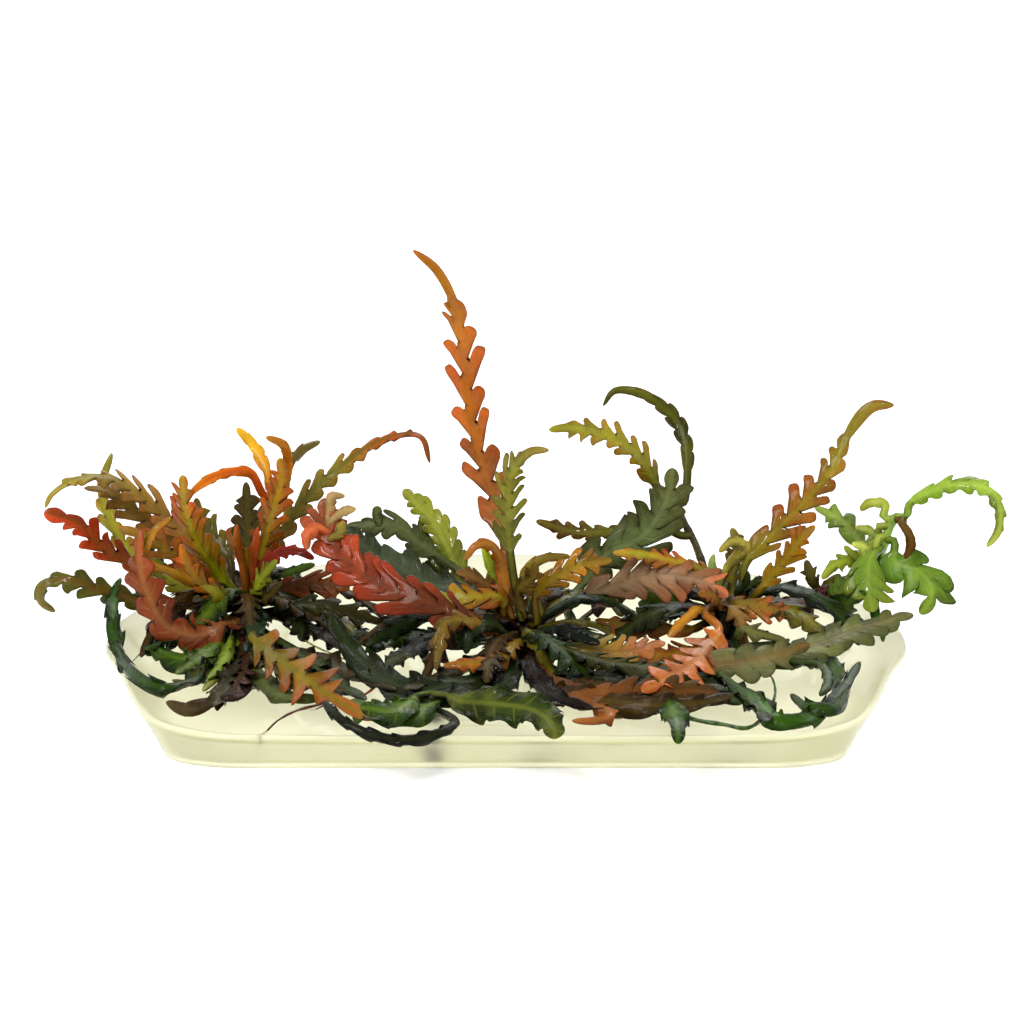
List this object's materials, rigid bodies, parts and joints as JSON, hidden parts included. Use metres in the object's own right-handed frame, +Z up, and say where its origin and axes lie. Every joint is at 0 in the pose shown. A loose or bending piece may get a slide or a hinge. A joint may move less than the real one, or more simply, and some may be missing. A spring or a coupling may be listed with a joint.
{
  "type": "hygrophila pinnatifida plant clump",
  "caption": "Clump of deeply lobed red, orange and green aquarium plants rooted in a round pad of clear gel.",
  "frame": {"origin": "centre of the gel pad's flat underside", "axes": "+Z up out of the gel, +X to the right along the clump's longest side, -Y to the front"},
  "size_m": [0.0952, 0.0854, 0.0442],
  "materials": {
    "gel": "clear, pale yellow, wet nutrient gel",
    "stem": "dark purple-brown, wet bark",
    "rhizome": "glossy dark red-brown runner",
    "lime": "bright lime green leaf, wet",
    "olive": "olive to yellow-green leaf with warm margins, wet",
    "moss": "dark green leaf with a pale midrib, glossy",
    "slate": "blue-grey green leaf, satin",
    "umber": "mauve-brown leaf, satin",
    "copper": "rust-red leaf with a yellow-green midrib, wet",
    "orange": "orange leaf shaded olive, wet",
    "red": "coral-red leaf, wet"
  },
  "bodies": {
    "root": {"gel_pad": "gel", "stem_left": "stem", "stem_left_branch": "umber", "stem_centre": "stem", "stem_right": "stem", "stem_right_branch": "olive", "stem_front": "stem", "rhizome": "rhizome", "stem_green": "lime", "leaf_left_arching": "umber", "leaf_left_upright": "olive", "leaf_left_red_tip": "red", "leaf_left_grey_curl": "olive", "leaf_left_rust": "copper", "leaf_left_green_rib": "orange", "leaf_left_orange": "orange", "leaf_left_olive": "olive", "leaf_left_tall_rust": "copper", "leaf_left_dark": "moss", "leaf_left_slanting": "copper", "leaf_left_long_right": "umber", "leaf_left_brown_right": "umber", "leaf_left_moss_right": "moss", "leaf_left_front_long": "orange", "leaf_left_front_purple": "umber", "leaf_left_ribbon": "moss", "leaf_left_crumpled": "moss", "leaf_left_under": "moss", "leaf_tallest": "orange", "leaf_centre_front": "olive", "leaf_centre_round_lobed": "olive", "leaf_centre_left_short": "copper", "leaf_centre_coral": "red", "leaf_centre_slate": "slate", "leaf_centre_crenate": "lime", "leaf_centre_pale_right": "olive", "leaf_centre_low_right": "slate", "leaf_centre_mauve": "umber", "leaf_centre_big_grey": "slate", "leaf_centre_loop": "olive", "leaf_centre_sweeping": "slate", "leaf_centre_brown_right": "umber", "leaf_front_green": "moss", "leaf_front_olive": "olive", "leaf_front_thin": "moss", "leaf_right_tall": "copper", "leaf_right_short": "orange", "leaf_right_broad": "slate", "leaf_right_toothed": "orange", "leaf_right_front_orange": "orange", "leaf_right_left_green": "moss", "leaf_right_left_rust": "copper", "leaf_right_loop": "moss", "leaf_branch_reaching": "olive", "leaf_branch_red_tip": "olive", "leaf_branch_hooked": "moss", "leaf_green_arching": "lime", "leaf_green_upper_left": "lime", "leaf_green_broad": "lime", "leaf_green_drooping": "moss"}
  },
  "joints": []
}
